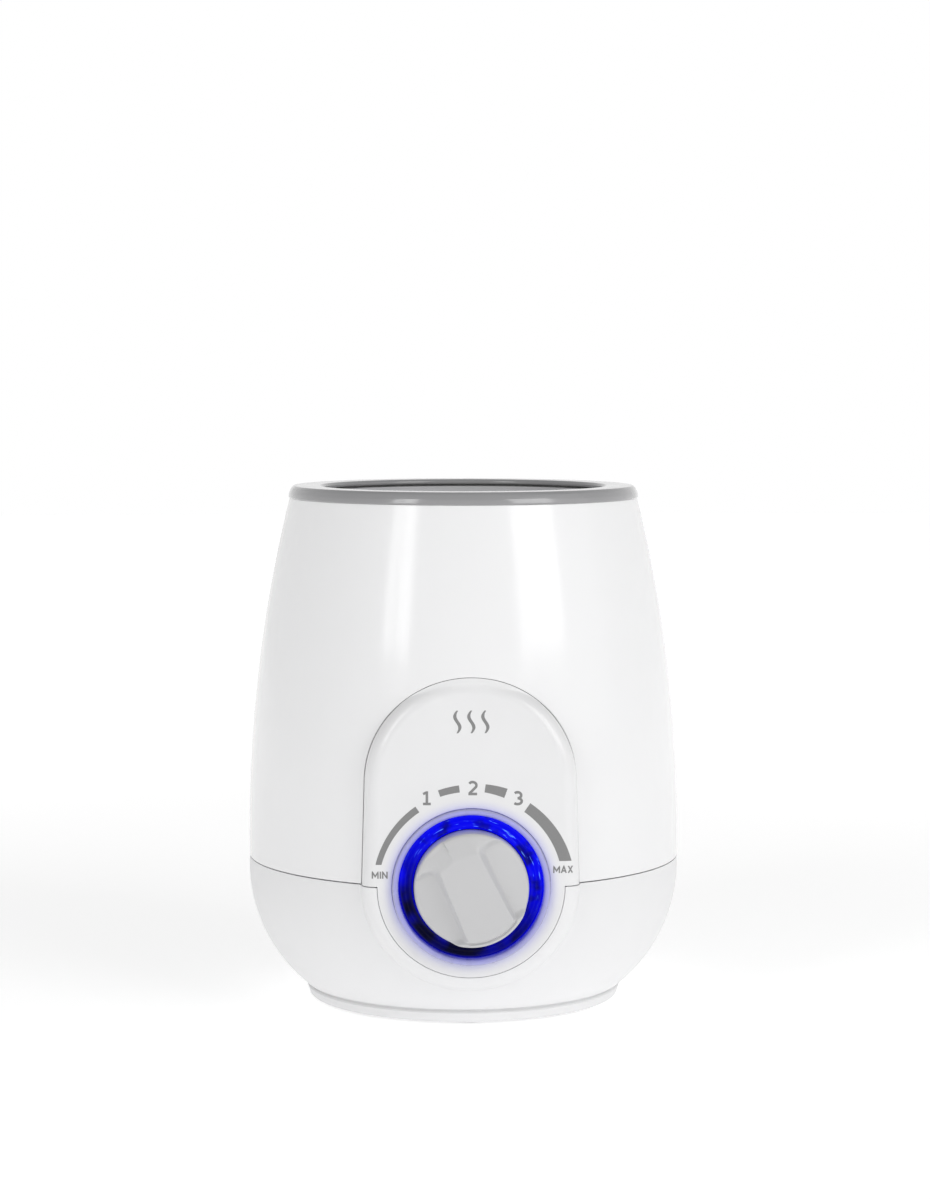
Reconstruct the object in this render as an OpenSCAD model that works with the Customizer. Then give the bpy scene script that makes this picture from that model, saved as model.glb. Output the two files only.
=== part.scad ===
// Bottle warmer: a round, waisted housing around a heated water chamber,
// with a raised front panel that carries one lit temperature knob.
// Millimetres. +Z is up, the front faces -Y, and the origin is on the body's
// axis at the level the rubber feet stand on.

/* [Body] */
// Largest radius of the body
body_r = 68.75; // [68:0.25:70]
// Height of the widest point of the upper side
waist_z = 53; // [50:0.5:56]
// Radius of the long curve of the upper side
side_arc = 438; // [420:1:470]
// Height of the line where the two housings meet
belt_z = 46; // [44:0.5:47]
// Height of the housing's top, under the rim ring
shoulder_z = 160.3; // [158:0.1:162]
// Radius of the bowl's curve
bowl_arc = 48.5; // [48:0.1:50]
// Height of the centre of the bowl's curve
bowl_z = 43; // [42:0.5:44]
// Height of the bowl's lower edge
bowl_edge_z = 5.2; // [5:0.1:5.6]
// Thickness of the housing walls
wall = 2.4; // [2.2:0.1:2.6]

/* [Rim and well] */
// Height of the top of the rim ring
rim_top_z = 164.2; // [163.8:0.1:165]
// Outer radius of the rim ring at its foot
rim_r = 55.8; // [55.4:0.1:56.2]
// Radius of the open mouth
mouth_r = 45.2; // [45:0.1:46]
// Inner radius of the water chamber below the funnel
well_top_r = 41.5; // [41:0.1:42]
// Inner radius of the water chamber at its floor
well_floor_r = 39.5; // [39:0.1:40]
// Height of the water chamber's floor
well_floor_z = 93; // [92:0.5:94]
// Radius of the hole in the floor that the heating plate fills
plate_hole_r = 31.5; // [31:0.1:32]

/* [Front panel] */
// Radius of the panel's arched top
arch_r = 32.2; // [32:0.1:33]
// Height of the centre of that arch
arch_z = 77; // [75:0.5:79]
// Half width of the raised front at the belt, and radius of its lower round
front_r = 33.05; // [32.8:0.05:33.4]
// Radius of the panel's lower lobe
lobe_r = 28.4; // [28.2:0.1:28.8]
// Distance of the panel's face from the body's axis, at its fullest
panel_front = 67.3; // [67:0.1:68]
// Height at which the panel's face is fullest
panel_crown_z = 72; // [70:0.5:74]
// Radius of the panel face's upright curve
panel_arc = 400; // [380:5:440]
// Radius of the panel's rounded edge
panel_round = 4.6; // [4:0.1:4.8]
// Thickness of the panel
panel_wall = 2.2; // [2:0.1:2.4]
// Width of the gap around the panel
panel_gap = 0.15; // [0.1:0.05:0.2]

/* [Knob] */
// Height of the knob's axis
knob_z = 46; // [46:0.1:46.4]
// Radius of the knob
knob_r = 17.3; // [17:0.1:17.4]
// Width of the grip bar's top across the knob
bar_w = 14.2; // [12:0.1:15]
// Distance of the knob's rim from the body's axis
knob_rim = 73.7; // [73:0.1:74.5]
// Turn of the pointer from straight up, towards the left
pointer_turn = 25; // [-80:1:80]
// Distance of the grip bar's face from the body's axis
knob_front = 75.5; // [75:0.1:76.5]
// Outer radius of the bezel
bezel_r = 23.9; // [23.8:0.05:23.95]
// Outer radius of the lit ring
ring_r = 22; // [21.8:0.1:22.2]
// Distance of the bezel's lip from the body's axis
bezel_front = 68.6; // [68:0.1:69]
// Distance of the lit ring's face from the body's axis
ring_front = 65.5; // [65:0.1:66]
// Diameter of the knob's shaft
shaft_d = 6; // [5.8:0.1:6]

/* [Base] */
// Radius of the base plate's rim at the floor
base_r = 49.5; // [49:0.1:50]
// How far the rubber feet stand out
feet_drop = 1; // [0.8:0.1:1.2]
// Radius of the rubber feet
foot_r = 6; // [5:0.5:7]
// Distance of the feet from the body's axis
feet_at = 38; // [36:0.5:40]

/* [Hidden] */

$fn = 96;

// The plates and bosses
floor_t = 2.4;
base_z = feet_drop;
plate_z = base_z + floor_t;
rim_step_z = 4.2;
rim_step_r = base_r + 0.8;
base_open_r = 48.9;
post_at = 43;
post_r = 4.75;
base_post_r = 3.5;
rib_t = 2;
case_head_z = 30;
upper_boss_top = 80;

// The chamber and the heater below it
funnel_z = 150;
chamber_wall = 1.8;
flange_r = 52.8;
flange_t = 1.7;
seal_t = 0.6;
chamber_top = shoulder_z + flange_t;
floor_under_z = well_floor_z - 2;
plate_seal_t = 0.8;
heat_flange_r = 34.6;
heat_flange_t = 2.2;
heat_under_z = floor_under_z - plate_seal_t - heat_flange_t;
retainer_t = 1.2;
retainer_at = 37.8;
ptc_size = [30, 20, 6];
clamp_foot_x = 23;
sensor_y = 17;

// The front controls, measured forward from the body's axis
board_front = 52;
board_t = 1.6;
board_back = board_front - board_t;
board_half_w = 29.5;
board_low_z = 24;
board_high_z = 86;
seat_w = 61;
bezel_flange_t = 1.5;
guide_flange_t = 1.5;
bezel_flange_r = 27;
guide_r = ring_r - 0.15;
guide_bore_r = 17.9;
baffle_r = guide_bore_r - 0.05;
baffle_face = 62.2;
pot_r = 8.5;
pot_front = 60;
bush_r = 3.5;
bush_front = 65.2;
led_at_r = 20;
led_count = 8;
boss_spots = [[22, 80], [26, 60.5]];

// The knob's grip bar, measured across and along its pointer
bar_foot = 8.6;
hollow_floor = 72.2;
hollow_slope = 19;
hollow_skin = 3.8;
knob_round = 1;
bar_end = 10.4;
bar_end_slope = 16;

// The power board lying above the base
power_z = 14;
power_size = [68, 44, 1.6];
power_top = power_z + power_size[2];
standoff_at = [30, 18];
relay_size = [15.5, 19, 15];
film_size = [18, 8.5, 14];
smoothing_r = 4;
smoothing_h = 12;
terminal_size = [16, 9, 11];
gland_z = 26;
gland_pad_y = 66.5;
gland_bore_r = 3.1;
gland_neck_r = 5.5;
gland_flange_r = 7.2;
gland_flange_t = 1.8;
gland_length = 12;

// Routes of the wires inside, chosen by hand
heater_route = [[10, 10, 85], [10, 12, 85], [10, 14, 85], [11, 20, 80], [15, 25, 66], [19, 24, 50],
    [19, 17, 37], [19, 12.5, 32], [19, 12.5, 28], [19, 12.5, 24.5]];
sensor_route = [[-9.5, 17, 86], [-11, 17, 86], [-12.5, 17, 86], [-18, 19, 80], [-24, 18, 62],
    [-26, 8, 44], [-24, -4, 28], [-22, -8, 21], [-22, -8, 18], [-22, -8, 15.6]];
cable_route = [[0, -50.4, 30], [0, -48, 30], [0, -46, 30], [0, -38, 25], [0, -27, 23], [0, -19, 20.5],
    [0, -19, 18], [0, -19, 15.6]];

// Radius of the upper side's outer face at height z
function side_r(z) = body_r - side_arc + sqrt(side_arc * side_arc - pow(z - waist_z, 2));

// Radius of the bowl's face at height z, with its curve drawn in by inset
function bowl_face_r(z, inset = 0) =
    body_r - bowl_arc + sqrt(pow(bowl_arc - inset, 2) - pow(z - bowl_z, 2));

// Radius of the whole body at height z
function body_face_r(z) = z > belt_z ? side_r(z) : bowl_face_r(z);

// Place y of the panel's face at height z
function panel_face_y(z) =
    panel_arc - panel_front - sqrt(panel_arc * panel_arc - pow(z - panel_crown_z, 2));

// Evenly spaced heights from a to b in n steps
function steps(a, b, n) = [for (i = [0 : n]) a + (b - a) * i / n];

// Right half of the raised front's outline, top to bottom, pulled in by inset
function outline_half(inset) = concat(
    [for (a = [90 : -6 : 0]) [(arch_r - inset) * cos(a), arch_z + (arch_r - inset) * sin(a)]],
    [for (t = [0.2 : 0.2 : 0.81])
        [arch_r + (front_r - arch_r) * t - inset, arch_z + (knob_z - arch_z) * t]],
    [for (a = [0 : -6 : -90]) [(front_r - inset) * cos(a), knob_z + (front_r - inset) * sin(a)]]);

// The whole outline, clockwise seen from the front
function outline(inset) =
    let (half = outline_half(inset), n = len(half))
    concat(half, [for (i = [n - 2 : -1 : 1]) [-half[i][0], half[i][1]]]);

// Point of a smooth curve through the route's points, t counted in points
function route_point(p, t) =
    let (i = min(floor(t), len(p) - 2), f = t - i,
        a = p[max(i - 1, 0)], b = p[i], c = p[i + 1], d = p[min(i + 2, len(p) - 1)])
    b + f * (c - a) / 2 + f * f * (a - 2.5 * b + 2 * c - d / 2)
        + f * f * f * (1.5 * b - 1.5 * c + (d - a) / 2);

function unit(v) = v / norm(v);

// Frame of local coordinates: x right, y up from the knob's axis, z forward
module to_front() {
    translate([0, 0, knob_z]) rotate([90, 0, 0]) children();
}

module ring(r_out, r_in, low, high) {
    translate([0, 0, low]) difference() {
        cylinder(r = r_out, h = high - low);
        translate([0, 0, -1]) cylinder(r = r_in, h = high - low + 2);
    }
}

module disc(r, low, high) {
    translate([0, 0, low]) cylinder(r = r, h = high - low);
}

// A screw standing head down: its head's seat is at z = 0 and its shank points up
module screw(head_r, head_h, shank_r, shank_l) {
    difference() {
        disc(head_r, -head_h, 0);
        for (turn = [0, 90]) rotate([0, 0, turn])
            translate([-head_r * 0.6, -head_r * 0.12, -head_h - 1])
                cube([head_r * 1.2, head_r * 0.24, head_h * 0.6 + 1]);
    }
    disc(shank_r, 0, shank_l);
}

// Repeats its children at four places around the axis
module four_around(first_angle, radius) {
    for (k = [0 : 3]) rotate([0, 0, first_angle + 90 * k]) translate([radius, 0, 0]) children();
}

// A round wire swept along a route
module wire(route, r) {
    sides = 8;
    last = 5 * (len(route) - 1);
    spine = [for (i = [0 : last]) route_point(route, i / 5)];
    points = [for (i = [0 : last])
        let (way = unit(spine[min(i + 1, last)] - spine[max(i - 1, 0)]),
            across = unit(cross(way, abs(way[1]) < 0.9 ? [0, 1, 0] : [1, 0, 0])),
            other = cross(way, across))
        for (k = [0 : sides - 1])
            spine[i] + r * (across * cos(360 * k / sides) + other * sin(360 * k / sides))];
    faces = concat(
        [[for (k = [0 : sides - 1]) k]],
        [for (i = [0 : last - 1], k = [0 : sides - 1])
            let (a = i * sides, n = (k + 1) % sides) [a + n, a + k, a + sides + k]],
        [for (i = [0 : last - 1], k = [0 : sides - 1])
            let (a = i * sides, n = (k + 1) % sides) [a + n, a + sides + k, a + sides + n]],
        [[for (k = [sides - 1 : -1 : 0]) last * sides + k]]);
    polyhedron(points, faces);
}

// The raised front as a solid with a rounded edge; inset and sink make it smaller
// and shallower for the inside of the panel
module raised_front(inset, sink, back_y) {
    edge = panel_round - inset;
    turns = [90 : -15 : 0];
    rims = concat(
        [for (p = outline(inset)) [p[0], back_y, p[1]]],
        [for (t = turns, p = outline(inset + edge * (1 - sin(t))))
            [p[0], sink + min(panel_face_y(p[1]) + edge * (1 - cos(t)),
                -sqrt(pow(body_face_r(p[1]), 2) - p[0] * p[0])), p[1]]]);
    n = len(outline(0));
    top = n * 7;
    faces = concat(
        [[for (j = [n - 1 : -1 : 0]) j]],
        [for (k = [0 : 6], j = [0 : n - 1]) let (i = (j + 1) % n) [k * n + n + j, k * n + j, k * n + i]],
        [for (k = [0 : 6], j = [0 : n - 1]) let (i = (j + 1) % n) [k * n + n + j, k * n + i, k * n + n + i]],
        [[top, top + 1, top + n - 1]],
        [for (j = [1 : n / 2 - 2]) [top + j, top + j + 1, top + n - j - 1, top + n - j]],
        [[top + n / 2 - 1, top + n / 2, top + n / 2 + 1]]);
    polyhedron(rims, faces);
}

// Everything above the belt, and the round lobe below it
module panel_region(r) {
    translate([-50, -90, belt_z + panel_gap]) cube([100, 90, 90]);
    to_front() cylinder(r = r, h = 90);
}

module upper_housing() {
    rise = steps(belt_z, shoulder_z, 24);
    top_in = shoulder_z - wall;
    fall = steps(top_in, belt_z, 24);
    opening_r = 47.2;
    opening_back = 48;
    color("white") difference() {
        union() {
            rotate_extrude($fn = 180) polygon(concat(
                [for (z = rise) [side_r(z), z]],
                [[opening_r, shoulder_z], [opening_r, top_in]],
                [for (z = fall) [side_r(z) - wall, z]]));
            four_around(45, post_at) {
                disc(post_r - 0.5, belt_z, upper_boss_top);
                translate([post_r - 1, -rib_t / 2, belt_z + 6])
                    cube([side_r(belt_z) - post_at - post_r, rib_t, upper_boss_top - belt_z - 6]);
            }
        }
        translate([0, -opening_back, 0]) rotate([90, 0, 0]) linear_extrude(40) polygon(outline(0));
        four_around(45, post_at) disc(1.45, belt_z - 1, belt_z + 18);
    }
}

// The space inside the bowl's outer face
module bowl_core() {
    rotate_extrude($fn = 180) polygon(concat([[0, bowl_edge_z]],
        [for (z = steps(bowl_edge_z, belt_z, 16)) [bowl_face_r(z) - 0.3, z]], [[0, belt_z]]));
}

module lower_housing() {
    top = belt_z - panel_gap;
    tongue_r = side_r(belt_z) - wall - 0.1;
    color("white") difference() {
        union() {
            rotate_extrude($fn = 180) polygon(concat(
                [[base_open_r, bowl_edge_z]],
                [for (z = steps(bowl_edge_z, top, 16)) [bowl_face_r(z), z]],
                [for (z = steps(top, 7, 16)) [bowl_face_r(z, wall), z]]));
            ring(tongue_r, tongue_r - 1.4, belt_z - 5, belt_z + 3);
            intersection() {
                raised_front(0, 0, -54);
                translate([-40, -90, bowl_edge_z]) cube([80, 60, top - bowl_edge_z]);
            }
            intersection() {
                bowl_core();
                union() {
                    four_around(45, post_at) {
                        disc(post_r, 12, belt_z);
                        translate([post_r - 1, -rib_t / 2, 24]) cube([20, rib_t, 16]);
                    }
                    four_around(0, post_at) translate([base_post_r - 1, -rib_t / 2, 12])
                        cube([20, rib_t, 6]);
                }
            }
            four_around(0, post_at) disc(base_post_r, plate_z, 18);
            translate([0, gland_pad_y, gland_z]) rotate([90, 0, 0])
                cylinder(r = gland_flange_r + 0.8, h = 5);
        }
        to_front() cylinder(r = lobe_r, h = 90);
        translate([-34.5, -90, top]) cube([69, 40, 10]);
        four_around(45, post_at) {
            disc(1.95, 5, belt_z + 1);
            disc(3.6, 5, case_head_z);
        }
        four_around(0, post_at) disc(1.3, plate_z - 1, 17);
        translate([0, 80, gland_z]) rotate([90, 0, 0]) {
            cylinder(r = gland_neck_r + 0.1, h = 30);
            cylinder(r = gland_flange_r + 0.8, h = 80 - gland_pad_y);
        }
    }
}

module base_plate() {
    color("white") difference() {
        union() {
            rotate_extrude($fn = 180) polygon([[0, base_z], [base_r - 0.4, base_z],
                [base_r, base_z + 0.4], [rim_step_r, rim_step_z - 0.4], [rim_step_r - 0.3, rim_step_z],
                [base_r, rim_step_z + 0.3], [base_r, bowl_edge_z], [base_open_r - 0.2, bowl_edge_z],
                [base_open_r - 0.2, 8], [base_open_r - 2, 8], [base_open_r - 2, plate_z], [0, plate_z]]);
            for (x = [-1, 1], y = [-1, 1])
                translate([x * standoff_at[0], y * standoff_at[1], 0]) disc(3.2, plate_z, power_z);
        }
        four_around(45, feet_at) disc(foot_r + 0.05, 0, base_z + 0.8);
        four_around(0, post_at) {
            disc(1.6, 0, 10);
            disc(3.2, 0, base_z + 0.9);
        }
        for (x = [-1, 1], y = [-1, 1])
            translate([x * standoff_at[0], y * standoff_at[1], 0]) disc(1.1, 6, 20);
        for (x = [-17.5 : 5 : 17.5]) translate([x - 0.9, -9, 0]) cube([1.8, 18, 10]);
    }
}

module rubber_feet() {
    color("dimgray") four_around(45, feet_at) rotate_extrude()
        polygon([[0, 0], [foot_r - 0.5, 0], [foot_r, 0.5], [foot_r, base_z + 0.8], [0, base_z + 0.8]]);
}

module rim_ring() {
    under_z = chamber_top + seal_t;
    color("darkgray") rotate_extrude($fn = 180) polygon([[rim_r - 0.2, shoulder_z],
        [rim_r, shoulder_z + 0.3], [rim_r - 0.2, shoulder_z + 1.6], [rim_r - 0.9, rim_top_z - 0.7],
        [rim_r - 1.7, rim_top_z], [mouth_r + 0.6, rim_top_z], [mouth_r, rim_top_z - 0.6],
        [mouth_r, under_z], [flange_r + 0.1, under_z], [flange_r + 0.1, shoulder_z]]);
}

module rim_seal() {
    color("lightgray") ring(flange_r - 1, flange_r - 4, chamber_top, chamber_top + seal_t);
}

module water_chamber() {
    out = chamber_wall;
    color("gainsboro") difference() {
        union() {
            rotate_extrude($fn = 180) polygon([[plate_hole_r, floor_under_z], [plate_hole_r, well_floor_z],
                [well_floor_r, well_floor_z], [well_top_r, funnel_z], [mouth_r - 0.2, shoulder_z + 0.6],
                [mouth_r - 0.2, chamber_top], [flange_r, chamber_top], [flange_r, shoulder_z],
                [mouth_r + 1.7, shoulder_z], [well_top_r + out, funnel_z],
                [well_floor_r + out, floor_under_z]]);
            four_around(45, retainer_at) disc(2.6, heat_under_z, floor_under_z);
        }
        four_around(45, retainer_at) disc(1.15, heat_under_z - 1, floor_under_z + 1.2);
    }
}

module plate_seal() {
    color("lightgray") ring(heat_flange_r - 0.2, plate_hole_r + 0.4, floor_under_z - plate_seal_t,
        floor_under_z);
}

module heating_plate() {
    color("silver") difference() {
        union() {
            disc(heat_flange_r, heat_under_z, heat_under_z + heat_flange_t);
            disc(plate_hole_r - 0.2, heat_under_z, well_floor_z + 0.2);
        }
        for (x = [-1, 1]) translate([x * clamp_foot_x, 0, 0]) disc(1.5, heat_under_z - 1, heat_under_z + 3.5);
    }
}

module plate_retainer() {
    color("lightsteelblue") difference() {
        ring(retainer_at + 3, heat_flange_r - 4, heat_under_z - retainer_t, heat_under_z);
        four_around(45, retainer_at) disc(1.35, heat_under_z - 5, heat_under_z + 5);
    }
}

module retainer_screws() {
    color("silver") four_around(45, retainer_at)
        translate([0, 0, heat_under_z - retainer_t]) screw(2.5, 1.6, 1.15, 5);
}

module ptc_heater() {
    low = heat_under_z - ptc_size[2];
    color("sandybrown") translate([-ptc_size[0] / 2, -ptc_size[1] / 2, low]) cube(ptc_size);
}

module heater_clamp() {
    half = ptc_size[0] / 2 + 0.3;
    low = heat_under_z - ptc_size[2];
    strap_t = 1.2;
    strap_w = 10;
    foot = 13;
    top = heat_under_z;
    color("silver") translate([0, strap_w / 2, 0]) rotate([90, 0, 0]) difference() {
        linear_extrude(strap_w)
            polygon([[-half - foot, top - strap_t], [-half - strap_t, top - strap_t],
                [-half - strap_t, low - strap_t], [half + strap_t, low - strap_t],
                [half + strap_t, top - strap_t], [half + foot, top - strap_t], [half + foot, top],
                [half, top], [half, low], [-half, low], [-half, top], [-half - foot, top]]);
        for (x = [-1, 1]) translate([x * clamp_foot_x, top + 2, strap_w / 2])
            rotate([90, 0, 0]) cylinder(r = 1.6, h = 20);
    }
}

module clamp_screws() {
    color("silver") for (x = [-1, 1])
        translate([x * clamp_foot_x, 0, heat_under_z - 1.2]) screw(2.8, 1.8, 1.45, 4.2);
}

// A probe in a small saddle pressed against the plate's underside
module probe(r, length) {
    translate([-length / 2, 0, heat_under_z - r]) rotate([0, 90, 0]) cylinder(r = r, h = length);
    translate([-3, -r - 1.5, heat_under_z - 2 * r - 0.8]) cube([6, 2 * r + 3, 2 * r + 0.8]);
}

module thermistor() {
    color("black") translate([-3, sensor_y, 0]) probe(2, 13);
}

module thermal_fuse() {
    color("white") translate([0, -sensor_y, 0]) probe(2.2, 16);
}

module control_panel() {
    hook_z = 64;
    color("whitesmoke") difference() {
        union() {
            intersection() {
                raised_front(panel_gap, 0, -board_front);
                panel_region(lobe_r - panel_gap);
            }
            for (x = [-1, 1]) translate([x * 33.2 - 1.2, -56, hook_z]) cube([2.4, 1.6, 8]);
        }
        difference() {
            union() {
                raised_front(panel_wall, panel_wall, -40);
                translate([-31, 4 - seat_w, 20]) cube([62, 20, 100]);
            }
            to_front() ring(bezel_flange_r + 1, bezel_r, seat_w, 90);
            for (x = [-1, 1], spot = boss_spots)
                translate([x * spot[0], 0, spot[1] - knob_z]) to_front() disc(2.75, board_front, 90);
        }
        to_front() disc(bezel_r + 0.05, seat_w - 20, 90);
        for (x = [-1, 1], spot = boss_spots)
            translate([x * spot[0], 0, spot[1] - knob_z]) to_front() disc(1.1, board_front - 1, 60);
    }
}

module knob_bezel() {
    lip = (bezel_r - ring_r) / 2;
    low = seat_w - bezel_flange_t;
    color("lavender") to_front() rotate_extrude($fn = 120) union() {
        translate([ring_r, low]) square([2 * lip, bezel_front - lip - low]);
        translate([ring_r + lip, bezel_front - lip]) circle(r = lip, $fn = 32);
        translate([ring_r, low]) square([bezel_flange_r - ring_r, bezel_flange_t]);
    }
}

module light_guide() {
    low = seat_w - bezel_flange_t - guide_flange_t;
    color("royalblue") to_front() {
        ring(guide_r, guide_bore_r, board_front + 2, ring_front);
        ring(bezel_flange_r, guide_r - 0.5, low, low + guide_flange_t);
    }
}

module light_baffle() {
    color("darkslategray") to_front() {
        ring(baffle_r, bush_r + 0.05, baffle_face - 1.2, baffle_face);
        ring(baffle_r, baffle_r - 1.2, board_front + 1, baffle_face - 0.6);
    }
}

// Cross-section through the knob: what is cut away beside the grip bar, down to a face
// that slopes back towards the knob's edge, side is -1 or 1
module knob_hollow(side) {
    past = knob_r + 3;
    polygon([[side * (bar_foot - 1), hollow_floor], [side * bar_foot, hollow_floor],
        [side * past, hollow_floor - (past - bar_foot) * tan(hollow_slope)],
        [side * past, knob_front + 3], [side * (bar_foot - 1), knob_front + 3]]);
}

// Lays a cross-section along the pointer, from v = low to v = high
module along_bar(low, high) {
    rotate([90, 0, 0]) translate([0, 0, -high]) linear_extrude(high - low) children();
}

module knob() {
    back = baffle_face + 2.6;
    skin_w = hollow_floor - hollow_skin;
    half = bar_w / 2;
    color("lightgray") to_front() rotate([0, 0, pointer_turn]) difference() {
        union() {
            difference() {
                rotate_extrude($fn = 120) polygon(concat(
                    [[0, back], [knob_r, back]],
                    [for (a = [0 : 15 : 90])
                        [knob_r - knob_round * (1 - cos(a)), knob_rim - knob_round * (1 - sin(a))]],
                    [[0, knob_rim]]));
                for (side = [-1, 1]) along_bar(-knob_r, bar_end) knob_hollow(side);
            }
            intersection() {
                along_bar(-knob_r, knob_r) polygon([[-bar_foot, skin_w + 1], [bar_foot, skin_w + 1],
                    [bar_foot, hollow_floor], [half + 0.3, knob_front - 0.3], [half, knob_front],
                    [-half, knob_front], [-half - 0.3, knob_front - 0.3], [-bar_foot, hollow_floor]]);
                rotate_extrude($fn = 120) polygon([[0, back], [knob_r - knob_round, back],
                    [knob_r - knob_round, knob_rim], [knob_r - 2 * knob_round, knob_front - 0.5],
                    [knob_r - 2.5 * knob_round, knob_front], [0, knob_front]]);
            }
        }
        translate([-30, bar_end, knob_front]) rotate([-bar_end_slope, 0, 0]) cube([60, 20, 10]);
        ring(knob_r - 1.6, 5, back - 1, skin_w);
        disc(5.5, back - 1, bush_front + 0.6);
        difference() {
            disc(shaft_d / 2, back - 1, knob_front - 2);
            translate([-5, shaft_d / 2 - 1.5, back + 1]) cube([10, 5, 20]);
        }
    }
}

module knob_shaft() {
    flat = shaft_d / 2 - 1.5;
    color("silver") to_front() rotate([0, 0, pointer_turn]) {
        difference() {
            disc(shaft_d / 2, 54.5, knob_front - 2.1);
            translate([-5, flat - 0.5, baffle_face + 3.6]) cube([10, 5, 20]);
        }
        disc(7, 55, 57);
    }
}

module knob_spring() {
    flat = shaft_d / 2 - 1.5;
    color("gray") to_front() rotate([0, 0, pointer_turn])
        translate([-2, flat - 0.45, baffle_face + 4]) cube([4, 0.4, 7]);
}

module pot_body() {
    can_t = 0.8;
    color("slategray") to_front() difference() {
        union() {
            disc(pot_r, board_front, pot_front);
            disc(bush_r, pot_front - 1, bush_front);
        }
        disc(pot_r - can_t, board_front + 1, pot_front - can_t);
        disc(shaft_d / 2 + 0.05, pot_front - 2, bush_front + 1);
    }
}

module pot_nut() {
    color("goldenrod") to_front() difference() {
        translate([0, 0, baffle_face]) cylinder(r = 5.8, h = 2, $fn = 6);
        disc(bush_r + 0.02, baffle_face - 1, baffle_face + 3);
    }
}

module control_board() {
    color("seagreen") difference() {
        translate([-board_half_w, -board_front, board_low_z])
            cube([2 * board_half_w, board_t, board_high_z - board_low_z]);
        for (x = [-1, 1], spot = boss_spots)
            translate([x * spot[0], 0, spot[1] - knob_z]) to_front() disc(1.45, 40, 60);
    }
}

module leds() {
    color("lightyellow") to_front() for (k = [0 : led_count - 1]) rotate([0, 0, 360 * k / led_count])
        translate([led_at_r - 1.4, -1.75, board_front]) cube([2.8, 3.5, 1.4]);
}

module board_screws() {
    color("silver") for (x = [-1, 1], spot = boss_spots)
        translate([x * spot[0], 0, spot[1] - knob_z]) to_front()
            translate([0, 0, board_back]) screw(2.5, 1.6, 1.1, 8);
}

module power_board() {
    color("seagreen") difference() {
        translate([-power_size[0] / 2, -power_size[1] / 2, power_z]) cube(power_size);
        for (x = [-1, 1], y = [-1, 1])
            translate([x * standoff_at[0], y * standoff_at[1], 0]) disc(1.45, 10, 20);
    }
}

module power_board_screws() {
    color("silver") for (x = [-1, 1], y = [-1, 1])
        translate([x * standoff_at[0], y * standoff_at[1], power_top]) rotate([180, 0, 0])
            screw(2.5, 1.6, 1.1, 8);
}

// A part standing on the power board, its near left corner at place
module on_board(place) {
    translate([place[0], place[1], power_top]) children();
}

module relay() {
    color("royalblue") on_board([-16, -10]) cube(relay_size);
}

module film_capacitor() {
    color("gold") on_board([3, -12]) cube(film_size);
}

module smoothing_capacitor() {
    color("midnightblue") on_board([-23, 12]) cylinder(r = smoothing_r, h = smoothing_h);
}

module terminal_block() {
    pole_r = 1.9;
    pole_floor = 8;
    color("green") on_board([11, 8]) difference() {
        cube(terminal_size);
        for (k = [1, 3]) translate([k * terminal_size[0] / 4, terminal_size[1] / 2, pole_floor])
            cylinder(r = pole_r, h = 20);
    }
}

module case_screws() {
    color("silver") four_around(45, post_at) translate([0, 0, case_head_z]) screw(3.4, 2.2, 1.45, 28);
}

module base_screws() {
    color("silver") four_around(0, post_at) translate([0, 0, base_z + 0.9]) screw(3, 0.8, 1.3, 14);
}

module cord_gland() {
    color("dimgray") translate([0, gland_pad_y + gland_flange_t, gland_z]) rotate([90, 0, 0])
        difference() {
            union() {
                disc(gland_flange_r, 0, gland_flange_t);
                disc(gland_neck_r, 0, gland_length);
                disc(gland_flange_r - 0.2, gland_length - gland_flange_t, gland_length);
            }
            disc(gland_bore_r, -1, gland_length + 1);
        }
}

module heater_leads() {
    color("firebrick") for (x = [-4, 4]) translate([x, 0, 0]) wire(heater_route, 1);
}

module sensor_leads() {
    color("white") for (y = [-0.9, 0.9]) translate([0, y, 0]) wire(sensor_route, 0.7);
}

module board_cable() {
    color("gray") for (x = [-3 : 2 : 3]) translate([x, 0, 0]) wire(cable_route, 0.6);
}

upper_housing();
lower_housing();
base_plate();
rubber_feet();
rim_ring();
rim_seal();
water_chamber();
plate_seal();
heating_plate();
plate_retainer();
retainer_screws();
ptc_heater();
heater_clamp();
clamp_screws();
thermistor();
thermal_fuse();
control_panel();
knob_bezel();
light_guide();
light_baffle();
knob();
knob_shaft();
knob_spring();
pot_body();
pot_nut();
control_board();
leds();
board_screws();
power_board();
power_board_screws();
relay();
film_capacitor();
smoothing_capacitor();
terminal_block();
case_screws();
base_screws();
cord_gland();
heater_leads();
sensor_leads();
board_cable();
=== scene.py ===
# Looks of the bottle warmer: housing shells, lit front panel, knob, rim and well
from math import acos, asin, atan2, cos, degrees, hypot, pi, radians, sin, sqrt, tan

import bmesh
import bpy
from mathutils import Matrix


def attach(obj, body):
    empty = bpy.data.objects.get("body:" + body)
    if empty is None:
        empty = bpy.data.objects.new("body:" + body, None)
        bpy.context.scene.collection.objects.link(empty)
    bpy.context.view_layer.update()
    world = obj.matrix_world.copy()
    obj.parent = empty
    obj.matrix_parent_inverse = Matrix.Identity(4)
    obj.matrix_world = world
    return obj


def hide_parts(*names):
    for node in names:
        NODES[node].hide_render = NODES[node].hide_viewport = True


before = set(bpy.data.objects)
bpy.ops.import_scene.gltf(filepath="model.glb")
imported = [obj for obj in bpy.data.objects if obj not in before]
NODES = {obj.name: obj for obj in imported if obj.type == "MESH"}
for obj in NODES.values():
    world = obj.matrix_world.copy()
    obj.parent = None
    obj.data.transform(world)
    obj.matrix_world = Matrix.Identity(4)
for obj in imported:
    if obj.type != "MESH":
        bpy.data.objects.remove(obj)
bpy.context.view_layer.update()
MM = 0.001

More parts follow.
